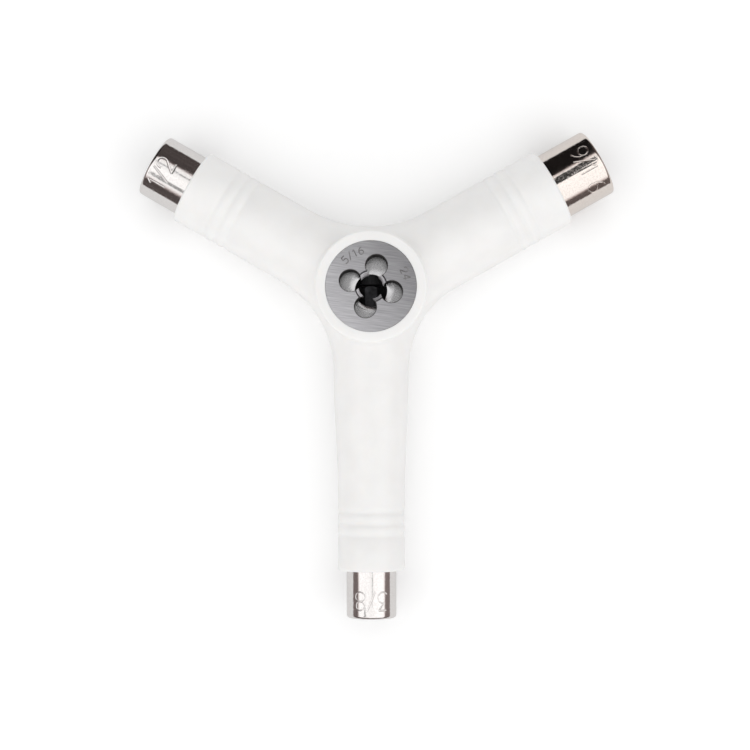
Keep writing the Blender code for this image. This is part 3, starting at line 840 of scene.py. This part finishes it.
thread_edit = bmesh.new()
thread_rows = []
thread_root = bore_radius - thread_overlap
thread_profile = ((thread_root, -root_half_width), (thread_crest, -crest_half_width),
                  (thread_crest, crest_half_width), (thread_root, root_half_width))
for step in range(-thread_steps, thread_steps * thread_turns):
    turn = tau * step / thread_steps
    height = die_bottom - thread_pitch + thread_pitch * step / thread_steps
    thread_rows.append([polar(radius, turn, height + thread_pitch * rise) for radius, rise in thread_profile])
thread_grid = skin(thread_edit, thread_rows)
thread_edit.faces.new(thread_grid[0])
thread_edit.faces.new(thread_grid[-1])
thread = mesh_object(thread_edit, "thread")


def ring_tree():
    """Geometry Nodes that put a copy of one piece on every point, turned to face out from the axis."""
    tree, given = grower("round_the_hub", {"Piece": "Object"})
    piece = wired(tree, "GeometryNodeObjectInfo", {"Object": given["Piece"]})
    place = wired(tree, "GeometryNodeInputPosition").outputs["Position"]
    level = wired(tree, "ShaderNodeVectorMath", {0: place, 1: (1.0, 1.0, 0.0)}, operation="MULTIPLY")
    facing = wired(tree, "FunctionNodeAlignRotationToVector", {"Vector": level.outputs["Vector"]},
                   axis="X", pivot_axis="Z")
    copies = wired(tree, "GeometryNodeInstanceOnPoints", {
        "Points": given["Geometry"], "Instance": piece.outputs["Geometry"],
        "Rotation": facing.outputs["Rotation"]})
    return painted(copies.outputs["Instances"], given["Material"])


round_the_hub = ring_tree()


def copies_round(name, piece, angles, orbit, material):
    """One plain object of copies of a piece, round the die's middle; the pattern piece is taken away."""
    points = bpy.data.meshes.new(name)
    points.from_pydata([polar(orbit, angle, die_middle) for angle in angles], [], [])
    made = grown(placed(name, points), round_the_hub, {"Piece": piece, "Material": material})
    bpy.data.objects.remove(piece)
    return made


ground_steel = Finish("ground_steel_finish", 420.0, 3000.0, metallic=1.0)
face_lines = lines_on(ground_steel, radians(98), 5200.0, 130.0)
ground_steel.colours((0.335, 0.33, 0.345), (0.52, 0.515, 0.53), face_lines, 0.3, 0.7)
# Painted shade: the die's ground face is darkened toward one side
ground_steel.shade(radians(215), die_radius, 0.30)
ground_steel.roughness(0.30, 0.46)
ground_steel.relief((ground_steel.cloud, 0.000005), (face_lines, 0.000005))
# Hole walls: dull drilled steel, made darker still as painted shade inside the clearance holes
drilled_and_shaded = Finish("drilled_steel_finish", 420.0, 3000.0, metallic=0.2)
drilled_and_shaded.colours((0.035, 0.033, 0.033), (0.11, 0.105, 0.105))
drilled_and_shaded.roughness(0.65, 0.85)
drilled_and_shaded.relief((drilled_and_shaded.tooth, 0.00001))
feed(drilled_and_shaded.shader, {"Specular IOR Level": 0.15})

half_die = (die_top - die_bottom) / 2
drill_end = half_die + overrun / 2
drill_rim = hole_radius + hole_rim + overrun / 2
drill_profile = [(0.0, drill_end), (drill_rim, drill_end), (hole_radius, half_die - hole_rim),
                 (hole_radius, hole_rim - half_die), (drill_rim, -drill_end), (0.0, -drill_end)]
hole_angles = [first_hole + pi / 2 * index for index in range(4)]
clearance = copies_round("clearance", turned("drill", drill_profile, drill_steps), hole_angles, hole_orbit,
                         drilled_and_shaded.material)
dimple_profile = [(0.0, -dimple_radius), (2 * dimple_radius, dimple_radius), (0.0, dimple_radius)]
dimples = copies_round("dimples", turned("dimple", dimple_profile, hole_steps, outward), screw_angles,
                       die_radius, ground_steel.material)


def on_die(along, up):
    """Place on the die's face for writing that runs clockwise round it, tops outward."""
    return polar(die_numeral_orbit + up, size_middle - along / die_numeral_orbit,
                 die_top + die_stroke_radius - die_stroke_depth)


pitch_shift = die_numeral_orbit * (size_middle - pitch_middle)
die_marks = (("5", -0.00245), ("/", -0.0009), ("1", 0.0006), ("6", 0.0022), ("2", pitch_shift - 0.0009),
             ("4", pitch_shift + 0.0009))
engraved = Finish("engraved_steel_finish", 420.0, 3000.0, metallic=1.0)
engraved.colours((0.22, 0.215, 0.215), (0.33, 0.325, 0.325))
engraved.roughness(0.45, 0.6)
engraved.relief((engraved.tooth, 0.000005))
die_engraving = engraving("die_marks", die_marks, die_numeral_height, on_die, die_stroke_radius,
                          engraved.material)
give(thread, ground_steel.material)
give(threading_die, ground_steel.material)
shaped(threading_die, [thread, clearance, dimples] + die_engraving)
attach(threading_die, "handle")
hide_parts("threading_die")

# Grub screws. Two short black screws through the barrel's wall into the die's rim, each with a cone point
# and a hex socket for its key, so that the die can't turn.
screw_inset = 0.0003
screw_edge = 0.0002
screw_steps = 64
point_radius = 0.0004
screw_start = die_radius + screw_inset
screw_end = barrel_radius - screw_inset
point_start = screw_start - dimple_radius + point_radius
key_across_flats = 0.0015
key_depth = 0.0012
screw_profile = [(0.0, screw_end)] + rounded(screw_radius, screw_end, screw_edge, points=4)
screw_profile += [(screw_radius, screw_start), (dimple_radius, screw_start), (point_radius, point_start),
                  (0.0, point_start)]
screw = turned("screw", screw_profile, screw_steps, outward @ Matrix.Translation((0.0, 0.0, -barrel_radius)))
key = hex_prism("key", key_across_flats, screw_end - key_depth - barrel_radius, 2 * overrun, outward)
shaped(screw, [key])
grub_screws = copies_round("grub_screws", screw, screw_angles, barrel_radius, black_oxide.material)
grub_screws.name = "die_grub_screws"
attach(grub_screws, "handle")
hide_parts("grub_screw_left", "grub_screw_right")

# Floor. A round sheet of plain white board. What the camera sees of it is lifted to white, and it keeps the
# soft shadow round it. Less lift close to the tool, through an ambient occlusion node, paints a shadow there
# on top.
# The plated metal mirrors it a little dimmer.
floor_radius = 0.24
board_extra = 0.24
painted_shadow_reach = 0.016
painted_shadow_share = 0.4
board_dimming = 0.06
floor_middle = (0.0, -0.024, -0.0001)
floor_edit = bmesh.new()
bmesh.ops.create_circle(floor_edit, cap_ends=True, segments=128, radius=floor_radius,
                        matrix=Matrix.Translation(floor_middle))
floor = mesh_object(floor_edit, "floor")
board = bpy.data.materials.new("white_board")
board.use_nodes = True
board_tree = board.node_tree


def mixed(share, first, second):
    """Mix of two of the board's shaders."""
    return wired(board_tree, "ShaderNodeMixShader", {"Fac": share, 1: first, 2: second}).outputs["Shader"]


board_shader = board_tree.nodes["Principled BSDF"]
feed(board_shader, {"Base Color": (0.9, 0.9, 0.9, 1.0), "Roughness": 0.8, "Specular IOR Level": 0.1})
board_white = board_shader.outputs["BSDF"]
board_black = wired(board_tree, "ShaderNodeBsdfDiffuse", {"Color": (0.0, 0.0, 0.0, 1.0)}).outputs["BSDF"]
# Painted shadow: ambient occlusion lowers the floor's lift to white close to the tool
board_painted_shadow = wired(board_tree, "ShaderNodeAmbientOcclusion", {"Distance": painted_shadow_reach}).outputs["AO"]
board_amount = ranged(board_painted_shadow, board_extra * (1 - painted_shadow_share), board_extra)
board_lift = wired(board_tree, "ShaderNodeBsdfDiffuse", {"Color": board_amount}).outputs["BSDF"]
board_lifted = wired(board_tree, "ShaderNodeAddShader", {0: board_white, 1: board_lift}).outputs["Shader"]
board_rays = wired(board_tree, "ShaderNodeLightPath").outputs
board_dimmed = mixed(board_dimming, board_white, board_black)
board_bounced = mixed(board_rays["Is Glossy Ray"], board_white, board_dimmed)
board_seen = maths("MAXIMUM", board_rays["Is Camera Ray"], board_rays["Is Transmission Ray"])
feed(board_tree.nodes["Material Output"], {"Surface": mixed(board_seen, board_bounced, board_lifted)})
give(floor, board)

# Studio. A large softbox overhead, its middle toward the long arm, lights the tool. What the plated metal
# mirrors is painted by direction on a sphere round it: that softbox, and the dim room beyond its edges. Small
# cards stand for the photographer, their sleeve, the boom, a cable and the camera, which the sockets mirror.
softbox = bpy.data.lights.new("softbox", "AREA")
softbox.shape = "RECTANGLE"
softbox.size = 3.4
softbox.size_y = 2.07
softbox.energy = 3.4
overhead = placed("softbox", softbox)
overhead.location = (0.0, -0.365, 1.0)
overhead.visible_camera = False
overhead.visible_glossy = False
ceiling_light = 1.08
ceiling_sides = (2.5, 1.4)
ceiling_head = (0.66, 0.42)
ceiling_foot = (-2.0, -0.7)
ceiling_slant = 0.3
ceiling_step = 0.3
ceiling_skew = 0.45
lowest_rise = 0.05
haze_drift = 0.25
haze_floor = 0.45
room_tones = ((0.14, 0.07), (0.29, 0.10), (0.35, 0.09), (0.43, 0.16), (0.5, 0.20), (0.57, 0.17),
              (0.66, 0.075), (0.72, 0.055), (0.79, 0.004), (0.88, 0.02))
room_end = (0.17, 0.17, 0.17)
room_tint = (1.22, 1.0, 0.97)
card_height = 0.56


def mirrored(piece):
    """Let only mirror-like rays see a stage surface; gives its material's emission."""
    finish = bpy.data.materials.new(piece.name + "_light")
    finish.use_nodes = True
    nodes = finish.node_tree.nodes
    nodes.remove(nodes["Principled BSDF"])
    light = nodes.new("ShaderNodeEmission")
    feed(nodes["Material Output"], {"Surface": light.outputs["Emission"]})
    give(piece, finish)
    for ray in ("camera", "diffuse", "shadow", "transmission"):
        setattr(piece, "visible_" + ray, False)
    return light


room_edit = bmesh.new()
bmesh.ops.create_uvsphere(room_edit, u_segments=64, v_segments=32, radius=4.0)
room_light = mirrored(mesh_object(room_edit, "surroundings"))


def soft_step(value, low, high):
    """Nought below low and one above high, softly; the other way round where low is the greater."""
    return ranged(value, 0.0, 1.0, low, high, interpolation_type="SMOOTHERSTEP")


room_tree = room_light.id_data
room_place = wired(room_tree, "ShaderNodeTexCoord").outputs["Object"]
room_axes = wired(room_tree, "ShaderNodeSeparateXYZ", {"Vector": room_place}).outputs
haze = wired(room_tree, "ShaderNodeTexNoise", {
    "Vector": room_place, "Scale": 2.2, "Detail": 8.0, "Roughness": 0.62}).outputs["Fac"]
drift = maths("MULTIPLY", maths("SUBTRACT", haze, 0.5), haze_drift)
rise = maths("MAXIMUM", room_axes["Z"], lowest_rise)
ceiling_x = maths("DIVIDE", room_axes["X"], rise)
ceiling_y = maths("ADD", maths("DIVIDE", room_axes["Y"], rise), drift)
slanted = maths("ADD", ceiling_y, maths("MULTIPLY", ceiling_x, ceiling_slant))
middle_x = maths("MAXIMUM", maths("MINIMUM", ceiling_x, ceiling_step), -ceiling_step)
skewed = maths("SUBTRACT", ceiling_y, maths("MULTIPLY", middle_x, ceiling_skew))
ceiling = maths("MULTIPLY", soft_step(maths("ABSOLUTE", ceiling_x), *ceiling_sides),
                maths("MULTIPLY", soft_step(skewed, *ceiling_head), soft_step(slanted, *ceiling_foot)))
turn_share = maths("DIVIDE", maths("ARCTAN2", room_axes["Y"], room_axes["X"]), tau)
tones = ramp(maths("ADD", turn_share, 0.5), (0.0, room_end),
             *[(share, (tone * 1.05, tone, tone * 0.98)) for share, tone in room_tones], (1.0, room_end))
room_tone = maths("MULTIPLY", tones, maths("ADD", haze, haze_floor))
feed(room_light, {"Strength": maths("ADD", room_tone, maths("MULTIPLY", ceiling, ceiling_light)),
                  "Color": ramp(ceiling, (0.0, room_tint), (1.0, (1.0, 1.0, 1.0)))})


def card(name, middle, turn, length, width, strength):
    """A card overhead that only mirror-like rays see."""
    edit = bmesh.new()
    bmesh.ops.create_grid(edit, x_segments=1, y_segments=1, size=0.5,
                          matrix=Matrix.Translation((*middle, card_height)) @ Matrix.Rotation(turn, 4, "Z")
                          @ Matrix.Diagonal((length, width, 1.0, 1.0)))
    feed(mirrored(mesh_object(edit, name)), {"Strength": strength})


card("photographer", (0.090, 0.142), radians(115), 0.22, 0.09, 0.02)
card("sleeve", (-0.058, 0.178), radians(60), 0.05, 0.065, 0.40)
card("boom", (-0.345, -0.262), radians(-130), 0.17, 0.12, 0.36)
card("cable", (0.034, -0.130), radians(90), 0.06, 0.022, 0.30)
card("camera_body", (0.0, 0.0), radians(90), 0.2, 0.11, 0.42)

tent_top = 0.705
tent_rim = 0.45
tent_lean = 0.17
world = bpy.data.worlds.new("studio")
bpy.context.scene.world = world
world.use_nodes = True
world_rays = wired(world.node_tree, "ShaderNodeLightPath").outputs
world_seen = maths("MAXIMUM", maths("MAXIMUM", world_rays["Is Camera Ray"], world_rays["Is Glossy Ray"]),
                   world_rays["Is Transmission Ray"])
tent_place = wired(world.node_tree, "ShaderNodeTexCoord").outputs["Generated"]
tent_axes = wired(world.node_tree, "ShaderNodeSeparateXYZ", {"Vector": tent_place}).outputs
tent_height = maths("MULTIPLY_ADD", maths("ABSOLUTE", tent_axes["Z"]), -tent_rim, tent_top + tent_rim)
tent_light = maths("MULTIPLY_ADD", tent_axes["Y"], -tent_lean, tent_height)
feed(world.node_tree.nodes["Background"], {
    "Color": (1.0, 1.0, 1.0, 1.0), "Strength": ranged(world_seen, tent_light, 1.0)})

# Camera, straight above and a little toward the long arm's side of the hub, with the photograph's lens angle.
optics = bpy.data.cameras.new("camera")
optics.lens = 92.6
optics.sensor_width = 36.0
optics.clip_start = 0.01
optics.clip_end = 20.0
camera = placed("camera", optics)
camera.location = (0.00106, -0.036, arm_level + 0.550)
camera.rotation_euler = (0.0, 0.0, radians(-0.1))
optics.shift_y = 0.0543
bpy.context.scene.camera = camera
bpy.context.scene.view_settings.view_transform = "Standard"
